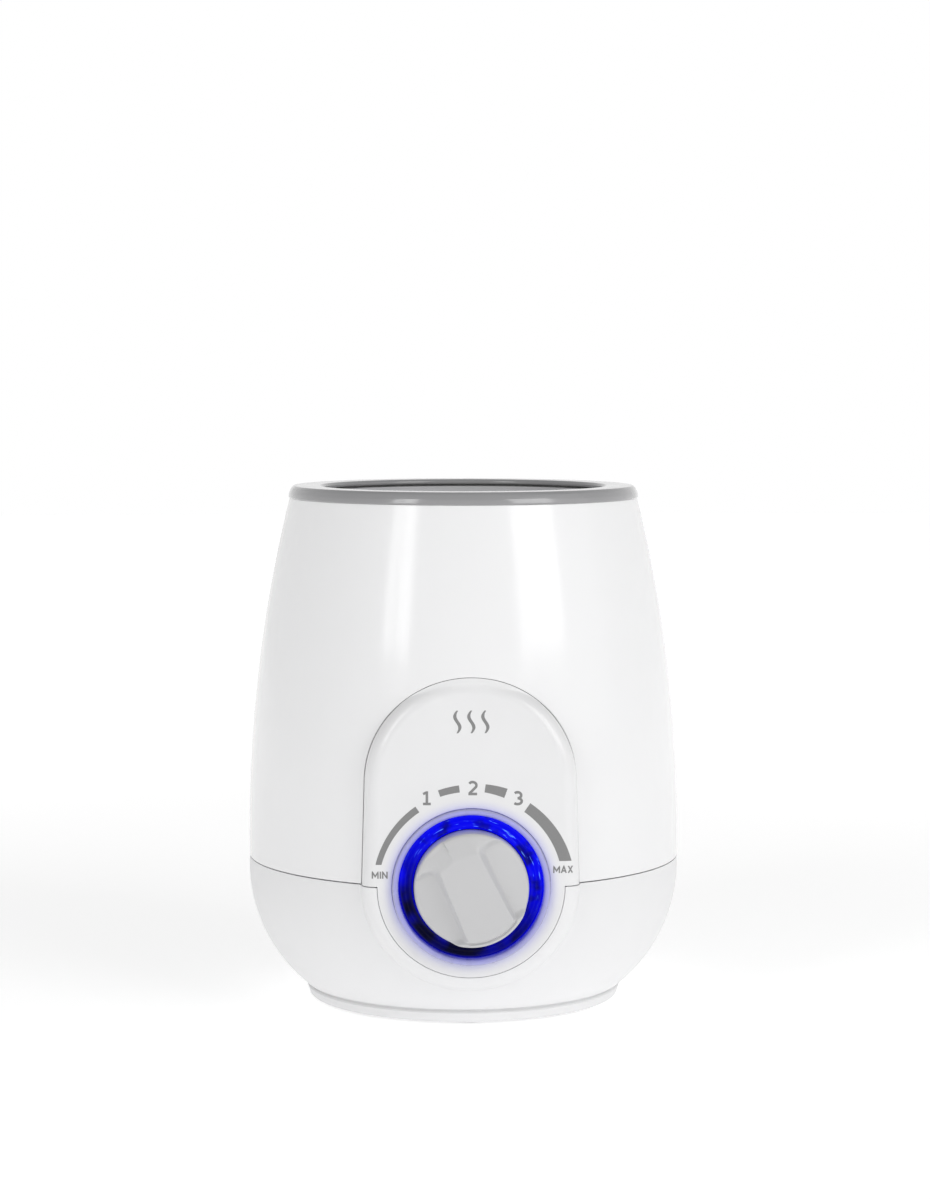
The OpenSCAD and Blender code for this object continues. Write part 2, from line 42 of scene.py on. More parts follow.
# ---------------------------------------------------------------- sizes, in mm
# The body: a long side curve over a bowl
BODY_R = 68.75
WAIST_Z = 53
SIDE_ARC = 438
BELT_Z = 46
SHOULDER_Z = 160.3
BOWL_ARC = 48.5
BOWL_Z = 43
BOWL_EDGE_Z = 5.2
WALL = 2.4
SEAM = 0.15
SHOULDER_IN_R = 47.2
BASE_OPEN_R = 48.9

# The front panel
ARCH_R = 32.2
ARCH_Z = 77
FRONT_R = 33.05
LOBE_R = 28.4
PANEL_FRONT = 67.3
PANEL_CROWN_Z = 72
PANEL_ARC = 400
PANEL_ROUND = 4.6
PANEL_WALL = 2.2
PANEL_BACK = 6
SILL_DEPTH = 3

# The knob, the bezel and the lit ring; FRONT, BACK and RIM count forward from the body's axis
KNOB_Z = 46
KNOB_R = 17.3
KNOB_BACK = 64.8
KNOB_RIM = 73.7
KNOB_FRONT = 75.5
POINTER_TURN = radians(25)
BEZEL_R = 23.85
BEZEL_HOLE_R = 24.0
RING_R = 22
BEZEL_FRONT = 68.6
RING_FRONT = 65.5
RING_BACK = 54
GUIDE_BORE_R = 17.9
GUIDE_LIP_R = 17.5
# The flanges of the ring and the bezel, which lie on each other
FLANGE_R = 27
RING_FLANGE_BACK = 58
FLANGE_MEETING = 59.5
BEZEL_FLANGE_FRONT = 61

# The rim and the well
RIM_TOP_Z = 164.2
RIM_R = 55.8
MOUTH_R = 45.2
SEAT_R = 52.9
SEAT_Z = 162.6
FLANGE_Z = 162
FUNNEL_R = 45
FUNNEL_Z = 160.9
WELL_TOP_R = 41.5
WELL_TOP_Z = 150
WELL_FLOOR_R = 39.5
WELL_FLOOR_Z = 93
WELL_UNDER_Z = 91
WELL_WALL = 1.8
FUNNEL_OUT_R = 46.9
PLATE_HOLE_R = 31.5

# The cord gland at the back
GLAND_Z = 26
GLAND_PAD_Y = 66.5
GLAND_NECK_R = 5.6
GLAND_PAD_R = 8


# ------------------------------------------------------------ the body's faces
def side_r(z):
    return BODY_R - SIDE_ARC + sqrt(SIDE_ARC ** 2 - (z - WAIST_Z) ** 2)


def bowl_r(z):
    return BODY_R - BOWL_ARC + sqrt(BOWL_ARC ** 2 - (z - BOWL_Z) ** 2)


def body_r(z):
    return side_r(z) if z > BELT_Z else bowl_r(z)


def on_body(turn, z):
    """Point of the body's face; turn is counted from the front towards +X."""
    return upright(body_r(z), turn, z)


def face_y(z):
    """How far forward the panel's slightly crowned face lies at that height."""
    return PANEL_ARC - PANEL_FRONT - sqrt(PANEL_ARC ** 2 - (z - PANEL_CROWN_Z) ** 2)


def edge_drop(inset):
    """How far the rounded edge of the raised front lies behind its flat face."""
    if inset >= PANEL_ROUND:
        return 0
    up = 1 - inset / PANEL_ROUND
    return PANEL_ROUND * (1 - sqrt(1 - up * up))


def front_half_width(z):
    """Half width of the raised front between its two round ends."""
    part = (ARCH_Z - z) / (ARCH_Z - KNOB_Z)
    return ARCH_R + (FRONT_R - ARCH_R) * part


# ------------------------------------------------------------------ mesh tools
def lerp(a, b, t):
    return tuple(p + (q - p) * t for p, q in zip(a, b))


def eased(n, power):
    """n + 1 numbers from 0 to 1, closer together at the start."""
    return [(i / n) ** power for i in range(n + 1)]


# The visual detail of walls and edges
WELD = 2e-6
WALL_EDGE = 0.28
EDGE_ANGLE = radians(42)


class Sheet:
    """Collects grids of points, in mm, into one mesh with welded borders."""

    def __init__(self):
        self.bm = bmesh.new()

    def grid(self, rows, closed=False):
        verts = [[self.bm.verts.new([c * MM for c in p]) for p in row] for row in rows]
        for upper, lower in zip(verts, verts[1:]):
            n = len(upper)
            for j in range(n if closed else n - 1):
                k = (j + 1) % n
                self.bm.faces.new([upper[j], upper[k], lower[k], lower[j]])
        return self

    def fan(self, ring, centre):
        verts = [self.bm.verts.new([c * MM for c in p]) for p in ring]
        mid = self.bm.verts.new([c * MM for c in centre])
        for j, v in enumerate(verts):
            self.bm.faces.new([v, verts[(j + 1) % len(verts)], mid])
        return self

    def placed(self, name, material):
        """The collected faces as an object in the scene."""
        mesh = bpy.data.meshes.new(name)
        self.bm.to_mesh(mesh)
        self.bm.free()
        mesh.materials.append(material)
        obj = bpy.data.objects.new(name, mesh)
        bpy.context.scene.collection.objects.link(obj)
        return obj

    def piece(self, name, material, body="housing", sharp=38):
        """A welded, smoothly shaded piece that rides on a body."""
        bm = self.bm
        bmesh.ops.remove_doubles(bm, verts=bm.verts, dist=WELD)
        bmesh.ops.dissolve_degenerate(bm, edges=bm.edges, dist=WELD / 20)
        bmesh.ops.recalc_face_normals(bm, faces=bm.faces)
        obj = self.placed(name, material)
        obj.data.shade_smooth()
        obj.data.set_sharp_from_angle(angle=radians(sharp))
        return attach(obj, body)


def thicken(obj, thickness, edge=WALL_EDGE):
    """Gives a sheet its wall, grown inwards, and breaks the wall's edges."""
    wall = obj.modifiers.new("wall", "SOLIDIFY")
    wall.thickness = thickness * MM
    wall.offset = -1
    wall.use_quality_normals = True
    bevel = obj.modifiers.new("edge", "BEVEL")
    bevel.width = edge * MM
    bevel.segments = 3
    bevel.limit_method = "ANGLE"
    bevel.angle_limit = EDGE_ANGLE
    bevel.use_clamp_overlap = True
    even = obj.modifiers.new("shading", "WEIGHTED_NORMAL")
    even.keep_sharp = True
    even.weight = 80
    return obj


def rounded(profile, r, n=4):
    """A closed outline with each corner turned into a short curve."""
    out = []
    count = len(profile)
    for i, p in enumerate(profile):
        before, after = profile[i - 1], profile[(i + 1) % count]
        near = [lerp(p, q, min(0.45, r / max(hypot(q[0] - p[0], q[1] - p[1]), 1e-6)))
                for q in (before, after)]
        for k in range(n + 1):
            t = k / n
            out.append(lerp(lerp(near[0], p, t), lerp(p, near[1], t), t))
    return out


def lathe(profile, place, segments=180):
    """Turns a closed outline of (radius, along) about an axis into a ring."""
    rows = [[place(r, 2 * pi * k / segments, a) for k in range(segments)] for r, a in profile]
    return Sheet().grid(rows + [rows[0]], closed=True)


def upright(r, turn, z):
    """A point about the body's axis."""
    return (r * sin(turn), -r * cos(turn), z)


def forward(r, turn, w):
    """A point about the knob's axis."""
    return (r * cos(turn), -w, KNOB_Z + r * sin(turn))


def pushed_back(row, depth):
    """The same row of points further back along +Y."""
    return [(x, y + depth, z) for x, y, z in row]


# ------------------------------------------------------------- material tools
class Shader:
    """A Principled material whose detail is built from a few named nodes."""

    def __init__(self, name, rough=0.3, metal=0.0, ior=1.46, coat=0.0, coat_rough=0.1):
        self.mat = bpy.data.materials.new(name)
        self.mat.use_nodes = True
        self.tree = self.mat.node_tree
        self.bsdf = self.tree.nodes["Principled BSDF"]
        self.set("Roughness", rough)
        self.set("Metallic", metal)
        self.set("IOR", ior)
        self.set("Coat Weight", coat)
        self.set("Coat Roughness", coat_rough)
        self.where = self.node("ShaderNodeTexCoord").outputs["Object"]

    def node(self, kind, **settings):
        made = self.tree.nodes.new(kind)
        for key, value in settings.items():
            setattr(made, key, value)
        return made

    def set(self, socket, value):
        self.bsdf.inputs[socket].default_value = value

    def feed(self, target, value):
        """Puts a number, a colour or another node's output on a socket."""
        if isinstance(value, bpy.types.NodeSocket):
            self.tree.links.new(value, target)
        else:
            target.default_value = value

    def math(self, operation, a, b=0.0):
        n = self.node("ShaderNodeMath", operation=operation)
        self.feed(n.inputs[0], a)
        self.feed(n.inputs[1], b)
        return n.outputs[0]

    def ramp(self, value, low, high, out_low=0.0, out_high=1.0, smooth=True):
        """Takes low..high to out_low..out_high, and stays at their ends outside."""
        n = self.node("ShaderNodeMapRange")
        n.interpolation_type = "SMOOTHSTEP" if smooth else "LINEAR"
        for i, v in enumerate((value, low, high, out_low, out_high)):
            self.feed(n.inputs[i], v)
        return n.outputs[0]

    def mix(self, factor, a, b):
        n = self.node("ShaderNodeMix", data_type="RGBA")
        self.feed(n.inputs["Factor"], factor)
        self.feed(n.inputs[6], a)
        self.feed(n.inputs[7], b)
        return n.outputs[2]

    def scaled(self, factors):
        """The object's coordinates multiplied along each axis."""
        n = self.node("ShaderNodeMapping")
        n.inputs["Scale"].default_value = factors
        self.feed(n.inputs["Vector"], self.where)
        return n.outputs["Vector"]

    def noise(self, scale, detail=3.0, rough=0.5, vector=None):
        n = self.node("ShaderNodeTexNoise")
        n.inputs["Scale"].default_value = scale
        n.inputs["Detail"].default_value = detail
        n.inputs["Roughness"].default_value = rough
        self.feed(n.inputs["Vector"], vector or self.where)
        return n.outputs["Fac"]

    def axes(self):
        n = self.node("ShaderNodeSeparateXYZ")
        self.feed(n.inputs[0], self.where)
        return n.outputs[0], n.outputs[1], n.outputs[2]

    def colour(self, value):
        self.feed(self.bsdf.inputs["Base Color"], value)

    def roughness(self, value):
        self.feed(self.bsdf.inputs["Roughness"], value)

    def bump(self, height, strength, depth_mm):
        n = self.node("ShaderNodeBump")
        n.inputs["Strength"].default_value = strength
        n.inputs["Distance"].default_value = depth_mm * MM
        self.feed(n.inputs["Height"], height)
        self.feed(self.bsdf.inputs["Normal"], n.outputs[0])

    def glow(self, colour, strength):
        self.feed(self.bsdf.inputs["Emission Color"], colour)
        self.feed(self.bsdf.inputs["Emission Strength"], strength)

    def around_knob(self):
        """Distance from the knob's axis, height above it and place across it, in mm."""
        x, _, z = self.axes()
        up = self.math("SUBTRACT", z, KNOB_Z * MM)
        far = self.math("SQRT", self.math("ADD", self.math("MULTIPLY", x, x),
                                          self.math("MULTIPLY", up, up)))
        return [self.math("DIVIDE", part, MM) for part in (far, up, x)]

    def along_ring(self, far, up, across, round_it, per_mm):
        """A place on a ring about the knob, for patterns that are drawn out along it."""
        n = self.node("ShaderNodeCombineXYZ")
        for socket, part in zip(n.inputs, (across, up)):
            self.feed(socket, self.math("MULTIPLY", self.math("DIVIDE", part, far), round_it))
        self.feed(n.inputs[2], self.math("MULTIPLY", far, per_mm))
        return n.outputs[0]


def rgb(r, g, b):
    return (r, g, b, 1.0)


def tint(colour, factor):
    return tuple(min(1.0, c * factor) for c in colour[:3]) + (1.0,)


def moulded(name, colour, rough=0.25, grain=900, grain_depth=0.01, coat=0.0, drift=0.03,
            toned=None):
    """Injection-moulded plastic: a faint flow pattern, a fine grain, and worn gloss.
    toned, if given, takes the shader and its plain colour and says the final colour."""
    s = Shader(name, rough=rough, coat=coat)
    plain = s.mix(s.noise(35, 2.0), tint(colour, 1 - drift), tint(colour, 1 + drift))
    s.colour(toned(s, plain) if toned else plain)
    s.roughness(s.ramp(s.noise(140, 4.0), 0.3, 0.7, rough * 0.85, rough * 1.2))
    s.bump(s.noise(grain, 2.0), 0.25, grain_depth)
    return s.mat


def metal(name, colour, rough=0.3, stretch=(1, 1, 1), scale=900):
    """Drawn or turned metal with fine scratches along one way."""
    s = Shader(name, rough=rough, metal=1.0)
    lines = s.noise(scale, 3.0, 0.6, s.scaled(stretch))
    s.colour(s.mix(lines, tint(colour, 0.85), tint(colour, 1.1)))
    s.roughness(s.ramp(lines, 0.25, 0.75, rough * 0.7, rough * 1.3))
    s.bump(lines, 0.3, 0.008)
    return s.mat


# ------------------------------------------------------------------- materials
WHITE = rgb(0.80, 0.80, 0.805)
PANEL = rgb(0.745, 0.745, 0.75)
BASE = rgb(0.72, 0.72, 0.725)


HALO_START = 23.9
HALO_END = 27.6
# The ring is brighter upwards and a little to the right
LIGHT_UP = 0.92
LIGHT_RIGHT = 0.38


def haloed(s, plain):
    """A colour that the light from behind the bezel tints near the panel's hole."""
    far, _, _ = s.around_knob()
    near = s.math("POWER", s.ramp(far, HALO_START, HALO_END, 1.0, 0.0, smooth=False), 2.0)
    s.glow(rgb(0.1, 0.1, 1.0), s.math("MULTIPLY", near, 0.17))
    return s.mix(near, plain, rgb(0.53, 0.53, 0.63))


def bezel_plastic():
    """Frosted ring that carries the blue light to its lip."""
    s = Shader("bezel_frosted", rough=0.28, coat=0.2)
    far, up, _ = s.around_knob()
    inner = s.ramp(far, 21.9, 23.9, 1.0, 0.0)
    cloud = s.noise(180, 3.0)
    s.colour(s.mix(inner, rgb(0.36, 0.36, 0.46), rgb(0.30, 0.30, 0.44)))
    s.roughness(s.ramp(cloud, 0.3, 0.7, 0.24, 0.34))
    lift = s.ramp(up, -24, 24, 0.75, 1.0)
    lit = s.math("MULTIPLY", s.ramp(cloud, 0.2, 0.8, 0.2, 0.32), s.ramp(far, 23.2, 23.8, 1.0, 0.25))
    s.glow(rgb(0.05, 0.05, 1.0), s.math("MULTIPLY", lift, lit))
    s.bump(cloud, 0.2, 0.01)
    return s.mat


def ring_light():
    """Clear blue light guide: bright towards the top, nearly dark below, with bright rims,
    faint patches of light low down, and painted pale glints in streaks high up."""
    s = Shader("ring_light", rough=0.12)
    s.set("Specular IOR Level", 0.08)
    far, up, across = s.around_knob()
    tilt = s.math("ADD", s.math("MULTIPLY", up, LIGHT_UP),
                  s.math("MULTIPLY", across, LIGHT_RIGHT))
    bright = s.ramp(tilt, -14, 12, 0.0, 1.0)
    blotches = s.noise(1.0, 2.0, 0.5, s.along_ring(far, up, across, 3.2, 0.16))
    streaks = s.noise(1.0, 2.0, 0.6, s.along_ring(far, up, across, 4.2, 1.9))
    sides = s.ramp(s.math("ABSOLUTE", across), 17.5, 21, 0.0, 1.0)
    level = s.math("MULTIPLY", s.ramp(up, -4, 5, 0.0, 1.0), s.ramp(up, 12, 3, 0.0, 1.0))
    glow = s.math("MAXIMUM", bright, s.math("MULTIPLY", sides, level))
    glow = s.math("MULTIPLY", glow, s.ramp(blotches, 0.36, 0.54, 0.22, 1.0))
    inner = s.ramp(far, GUIDE_LIP_R, 18.4, 1.0, 0.0)
    outer = s.ramp(far, 20.8, 21.9, 0.0, 1.0)
    rims = s.math("MULTIPLY", s.math("MAXIMUM", inner, outer), s.ramp(tilt, -22, 8, 0.3, 0.95))
    patches = s.noise(1.0, 1.0, 0.5, s.along_ring(far, up, across, 2.6, 0.12))
    low_light = s.ramp(patches, 0.44, 0.7, 0.0, 0.35)
    lit = s.math("MAXIMUM", s.math("MAXIMUM", glow, rims), low_light)
    # Painted glints: pale streaks added to the glow high up, standing in for reflections in the
    # clear plastic
    high = s.ramp(tilt, -4, 18, 0.0, 1.0)
    painted_glints = s.math("MULTIPLY", s.ramp(streaks, 0.62, 0.72, 0.0, 1.0), high)
    s.colour(rgb(0.004, 0.004, 0.03))
    s.glow(s.mix(painted_glints, rgb(0.0, 0.0, 1.0), rgb(0.12, 0.3, 1.0)),
           s.math("ADD", s.math("MULTIPLY", lit, 0.85), s.math("MULTIPLY", painted_glints, 0.6)))
    s.roughness(s.ramp(blotches, 0.3, 0.7, 0.08, 0.2))
    s.bump(streaks, 0.35, 0.05)
    return s.mat


def ink():
    """Grey pad-printed ink with slightly uneven cover."""
    s = Shader("print_ink", rough=0.5)
    cover = s.noise(2500, 2.0)
    s.colour(s.mix(cover, rgb(0.205, 0.205, 0.205), rgb(0.235, 0.235, 0.235)))
    s.roughness(s.ramp(cover, 0.3, 0.7, 0.42, 0.55))
    return s.mat


def board_fibre():
    """Circuit board: green mask over a faint weave and copper tracks."""
    s = Shader("board_fibre", rough=0.35, coat=0.2)
    weave = s.node("ShaderNodeTexWave", wave_type="BANDS", bands_direction="DIAGONAL")
    weave.inputs["Scale"].default_value = 300
    weave.inputs["Distortion"].default_value = 2
    s.feed(weave.inputs["Vector"], s.where)
    tracks = s.ramp(s.noise(160, 1.0), 0.52, 0.56)
    s.colour(s.mix(tracks, rgb(0.02, 0.16, 0.07), rgb(0.05, 0.27, 0.12)))
    s.bump(weave.outputs["Fac"], 0.2, 0.02)
    return s.mat


def rubber(name, colour):
    """Matt rubber or silicone with a coarser grain."""
    return moulded(name, colour, rough=0.75, grain=1400, grain_depth=0.05, drift=0.12)


# Shells and the parts that are seen
shell_white = moulded("shell_white", WHITE, rough=0.16, coat=0.2, drift=0.008)
lower_white = moulded("lower_white", tint(WHITE, 0.96), rough=0.5, drift=0.01)
base_white = moulded("base_white", BASE, rough=0.5, drift=0.012)
panel_white = moulded("panel_plastic", PANEL, rough=0.22, coat=0.15, toned=haloed)
bezel_lit = bezel_plastic()
ring_blue = ring_light()
rim_grey = moulded("rim_grey", rgb(0.265, 0.265, 0.27), rough=0.2, coat=0.9, drift=0.02)
knob_grey = moulded("knob_grey", rgb(0.525, 0.525, 0.53), rough=0.34, grain=1600,
                    grain_depth=0.02, drift=0.02)
well_grey = moulded("well_plastic", rgb(0.50, 0.50, 0.51), rough=0.5, drift=0.02)
print_grey = ink()


# --------------------------------------------------------------- upper housing
ARCH_STEPS = 60
SIDE_STEPS = 10
CORNER_STEPS = 12
SIDE_REACH_Z = 96
BACK_STEPS = 60
FRONT_ROWS = 26
EDGE_ROW = 0.006
SHOULDER_EDGE = 0.8


def arch_outline(inset=0.0):
    """The upper part of the raised front's outline, from left foot to right."""
    left = []
    for k in range(SIDE_STEPS):
        z = BELT_Z + SEAM + (ARCH_Z - BELT_Z - SEAM) * k / SIDE_STEPS
        left.append((-(front_half_width(z) - inset), z))
    arch = [((inset - ARCH_R) * cos(pi * k / ARCH_STEPS),
             ARCH_Z + (ARCH_R - inset) * sin(pi * k / ARCH_STEPS)) for k in range(ARCH_STEPS + 1)]
    return left + arch + [(-x, z) for x, z in reversed(left)]


def upper_border():
    """Where each column of the upper front ends: up the side, over the top, down."""
    low = BELT_Z + SEAM
    left = [(-pi / 2, low + (SIDE_REACH_Z - low) * k / SIDE_STEPS) for k in range(SIDE_STEPS)]
    left += [(-pi / 2, SIDE_REACH_Z + (SHOULDER_Z - SIDE_REACH_Z) * k / CORNER_STEPS)
             for k in range(CORNER_STEPS)]
    top_steps = ARCH_STEPS - 2 * CORNER_STEPS
    top = [(-pi / 2 + pi * k / top_steps, SHOULDER_Z) for k in range(top_steps + 1)]
    return left + top + [(-turn, z) for turn, z in reversed(left)]


def upper_shell():
    """The front round the panel, the back half, and the lip inside the rim ring."""
    sheet = Sheet()
    outline, border = arch_outline(), upper_border()
    start = [(asin(x / side_r(z)), z) for x, z in outline]
    rows = [[on_body(*lerp(a, b, t)) for a, b in zip(start, border)]
            for t in [0.0, EDGE_ROW] + eased(FRONT_ROWS, 1.35)[1:]]
    sheet.grid([pushed_back(rows[0], SILL_DEPTH)] + rows)
    heights = [z for _, z in border[:SIDE_STEPS + CORNER_STEPS + 1]]
    turns = [pi / 2 + pi * k / BACK_STEPS for k in range(BACK_STEPS + 1)]
    sheet.grid([[on_body(t, z) for t in turns] for z in heights])
    front_top = [turn for turn, z in border if z == SHOULDER_Z]
    ring = front_top + turns[1:-1]
    lip = [[upright(r, t, SHOULDER_Z) for t in ring]
           for r in (side_r(SHOULDER_Z), side_r(SHOULDER_Z) - SHOULDER_EDGE, SHOULDER_IN_R)]
    sheet.grid(lip, closed=True)
    obj = thicken(sheet.piece("upper_shell", shell_white), WALL)
    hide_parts("upper_housing")


# --------------------------------------------------------------- lower housing
LOBE_SIDE = 15
LOBE_BOTTOM = 60
BOWL_TOP = BELT_Z - SEAM
CREASE = 1.1
BOSS_SLOPE = 6
# Where the columns about the knob and about the gland turn from the sides to the middle
BOSS_CORNER = radians(38)
GLAND_CORNER = radians(28)
BOSS_RADII = [LOBE_R, 28.9, 29.6, 30.4, 31.1, 31.7, 32.2, 32.6, 32.9, 33.2, 33.5, 33.9, 34.5,
              35.5, 37]
PAD_RADII = (6.5, 7.4, GLAND_PAD_R)
PAD_FOOT_RADII = (8.25, 9, 10.5, 13)


def blended_front(a, b, k):
    """The further forward of two faces, with a soft crease between them."""
    h = max(k - abs(a - b), 0) / k
    return min(a, b) - h * h * k / 4


def boss_point(far, angle):
    """Point of the lower front, far from the knob's axis: boss edge, then bowl."""
    x = far * cos(angle)
    z = min(KNOB_Z + far * sin(angle), BOWL_TOP)
    bowl = -sqrt(max(bowl_r(z) ** 2 - x * x, 0))
    inset = FRONT_R - far
    if inset >= 0:
        boss = face_y(z) + edge_drop(inset)
    else:
        boss = face_y(z) + PANEL_ROUND - BOSS_SLOPE * inset
    return (x, blended_front(boss, bowl, CREASE), z)


def bowl_border():
    """Ends of the lower front's columns: down the left, along the bottom, up."""
    left = [(-pi / 2, BOWL_TOP + (BOWL_EDGE_Z - BOWL_TOP) * k / LOBE_SIDE)
            for k in range(LOBE_SIDE)]
    bottom = [(-pi / 2 + pi * k / LOBE_BOTTOM, BOWL_EDGE_Z) for k in range(LOBE_BOTTOM + 1)]
    return left + bottom + [(-turn, z) for turn, z in reversed(left)]


def boss_angles():
    """Angles about the knob's axis from its left, under it, to its right."""
    corner = BOSS_CORNER
    low = asin(SEAM / LOBE_R)
    left = [pi + low + (corner - low) * k / LOBE_SIDE for k in range(LOBE_SIDE)]
    bottom = [pi + corner + (pi - 2 * corner) * k / LOBE_BOTTOM
              for k in range(LOBE_BOTTOM + 1)]
    return left + bottom + [3 * pi - a for a in reversed(left)]


def gland_rows(border_turns, border_z):
    """Rows around the cord gland, from its hole to the border of the back half."""
    side, wide = LOBE_SIDE, LOBE_BOTTOM
    reach = GLAND_CORNER
    angles = [reach + (pi - 2 * reach) * k / wide for k in range(wide)]
    angles += [pi - reach + 2 * reach * k / side for k in range(side)]
    angles += [pi + reach + (pi - 2 * reach) * k / wide for k in range(wide)]
    angles += [2 * pi - reach + 2 * reach * k / side for k in range(side)]

    def at(r, a, on_pad):
        x, z = r * cos(a), GLAND_Z + r * sin(a)
        y = GLAND_PAD_Y if on_pad else sqrt(bowl_r(z) ** 2 - x * x)
        return (x, y, z)

    neck = [at(GLAND_NECK_R, a, True) for a in angles]
    rows = [pushed_back(neck, -SILL_DEPTH), neck]
    rows += [[at(r, a, True) for a in angles] for r in PAD_RADII]
    rows += [[at(r, a, False) for a in angles] for r in PAD_FOOT_RADII]
    start = [(atan2(p[0], -p[1]) % (2 * pi), p[2]) for p in rows[-1]]
    for t in eased(16, 1.2)[1:]:
        rows.append([on_body(*lerp(a, (border_turns[j], border_z[j]), t))
                     for j, a in enumerate(start)])
    return rows


def lower_shell():
    """The front round the panel's lobe, the back half round the gland, and the base lip."""
    sheet = Sheet()
    angles, border = boss_angles(), bowl_border()
    rows = [[boss_point(far, a) for a in angles] for far in BOSS_RADII]
    start = [(atan2(p[0], -p[1]), p[2]) for p in rows[-1]]
    rows += [[on_body(*lerp(a, b, t)) for a, b in zip(start, border)]
             for t in eased(18, 1.2)[1:]]
    sheet.grid([pushed_back(rows[0], SILL_DEPTH)] + rows)
    down = [z for _, z in border[:LOBE_SIDE + 1]]
    steps = [pi * k / LOBE_BOTTOM for k in range(LOBE_BOTTOM)]
    top = [pi / 2 + s for s in steps]
    # Counted about the gland from +X, over the top, to -X and back underneath
    turns = top + [3 * pi / 2] * LOBE_SIDE + [3 * pi / 2 - s for s in steps] + [pi / 2] * LOBE_SIDE
    heights = [BOWL_TOP] * LOBE_BOTTOM + down[:-1] + [BOWL_EDGE_Z] * LOBE_BOTTOM + down[:0:-1]
    sheet.grid(gland_rows(turns, heights), closed=True)
    ring = [turn for turn, z in border if z == BOWL_EDGE_Z] + [3 * pi / 2 - s for s in steps[1:]]
    full = sorted(set(round(t % (2 * pi), 9) for t in ring))
    lip = [[upright(r, t, BOWL_EDGE_Z) for t in full] for r in (bowl_r(BOWL_EDGE_Z), BASE_OPEN_R)]
    sheet.grid(lip, closed=True)
    obj = thicken(sheet.piece("lower_shell", lower_white), WALL)
    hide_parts("lower_housing")


# ----------------------------------------------------------------- front panel
PANEL_EDGE = 0.22
EDGE_TURNS = (90, 78, 66, 54, 42, 30, 18, 8)
HOLE_DEPTHS = (0.3, 3)
LOBE_STEPS = 96


def panel_edge_point(x, z, inset):
    """Point of the panel at that inset from its outline, never behind the body."""
    body = -sqrt(body_r(z) ** 2 - x * x)
    return (x, min(face_y(z) + edge_drop(inset), body), z)


def front_panel():
    """The arch above with its rounded edge, and the round lobe below, to the knob's hole."""
    sheet = Sheet()
    insets = [PANEL_ROUND * (1 - sin(radians(a))) for a in EDGE_TURNS] + [FRONT_R - LOBE_R]
    rows = [[panel_edge_point(x, z, inset) for x, z in arch_outline(inset + SEAM)]
            for inset in insets]
    holes = [atan2(z - KNOB_Z, x) for x, _, z in rows[-1]]

    def to_hole(ring, angles):
        ends = [(BEZEL_HOLE_R * cos(a), KNOB_Z + BEZEL_HOLE_R * sin(a)) for a in angles]
        out = []
        for t in eased(12, 0.9)[1:]:
            flat = [lerp((p[0], p[2]), e, t) for p, e in zip(ring, ends)]
            out.append([(x, face_y(z), z) for x, z in flat])
        return out + [pushed_back(out[-1], depth) for depth in HOLE_DEPTHS]

    sheet.grid([pushed_back(rows[0], PANEL_BACK)] + rows + to_hole(rows[-1], holes))
    low, high = holes[0], holes[-1]
    turns = [low + (2 * pi + high - low) * k / LOBE_STEPS for k in range(LOBE_STEPS + 1)]
    radius = LOBE_R - SEAM
    lobe = []
    for a in turns:
        z = KNOB_Z + radius * sin(a)
        lobe.append((radius * cos(a), face_y(z), z))
    lobe[0], lobe[-1] = rows[-1][0], rows[-1][-1]
    sheet.grid([pushed_back(lobe, PANEL_BACK), lobe] + to_hole(lobe, turns))
    obj = thicken(sheet.piece("front_panel", panel_white), PANEL_WALL, PANEL_EDGE)
    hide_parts("control_panel")


# --------------------------------------------------------- rings about the knob
def bezel():
    """Flanged ring with a half-round lip."""
    lip = (BEZEL_R - RING_R) / 2
    arc = [(RING_R + lip + lip * cos(radians(a)), BEZEL_FRONT - lip + lip * sin(radians(a)))
           for a in range(0, 181, 12)]
    profile = [(FLANGE_R, FLANGE_MEETING), (FLANGE_R, BEZEL_FLANGE_FRONT),
               (BEZEL_R, BEZEL_FLANGE_FRONT)] + arc + [(RING_R, FLANGE_MEETING)]
    obj = lathe(profile, forward).piece("lit_bezel", bezel_lit)
    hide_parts("knob_bezel")


def light_ring():
    """Clear ring whose face has a shallow channel between two rounded rims."""
    face = RING_FRONT
    outer = RING_R - 0.15
    mid = (outer + GUIDE_BORE_R) / 2
    front = [(outer, face - 0.5), (outer - 0.2, face - 0.1), (outer - 0.5, face),
             (outer - 1.0, face - 0.15), (mid + 0.3, face - 0.75), (mid, face - 0.85),
             (mid - 0.3, face - 0.75), (GUIDE_BORE_R + 0.9, face - 0.15),
             (GUIDE_BORE_R + 0.5, face), (GUIDE_BORE_R, face - 0.1),
             (GUIDE_LIP_R, face - 0.25), (GUIDE_LIP_R, face - 1.0), (GUIDE_BORE_R, face - 1.4)]
    back = [(outer, RING_BACK), (outer, RING_FLANGE_BACK), (FLANGE_R, RING_FLANGE_BACK),
            (FLANGE_R, FLANGE_MEETING), (outer, FLANGE_MEETING)]
    profile = back + front + [(GUIDE_BORE_R, RING_BACK)]
    obj = lathe(profile, forward).piece("light_ring", ring_blue)
    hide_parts("light_guide")


# ------------------------------------------------------------------------ knob
KNOB_ROWS = 66
KNOB_COLUMNS = 300
# The cap's rounded edge, and the space under the cap
EDGE = 1.0
INSIDE_R = KNOB_R - 1.6
INSIDE_W = 68.4
HUB_R = 3.2
SKIRT_W = 67.4
# The grip bar: half width of its top and how fast it grows, its foot and its flat end
BAR_HALF = 7.1
BAR_GROWTH = 0.04
BAR_FOOT = 8.6
BAR_END = 10.6
# The two facets at its end meet on a ridge; skew of their upper edge and their slope
RIDGE_U = -1.5
RIGHT_FACET = (0.095, 0.20)
LEFT_FACET = (-0.27, 0.34)
FACET_FLOOR = KNOB_RIM - 0.05
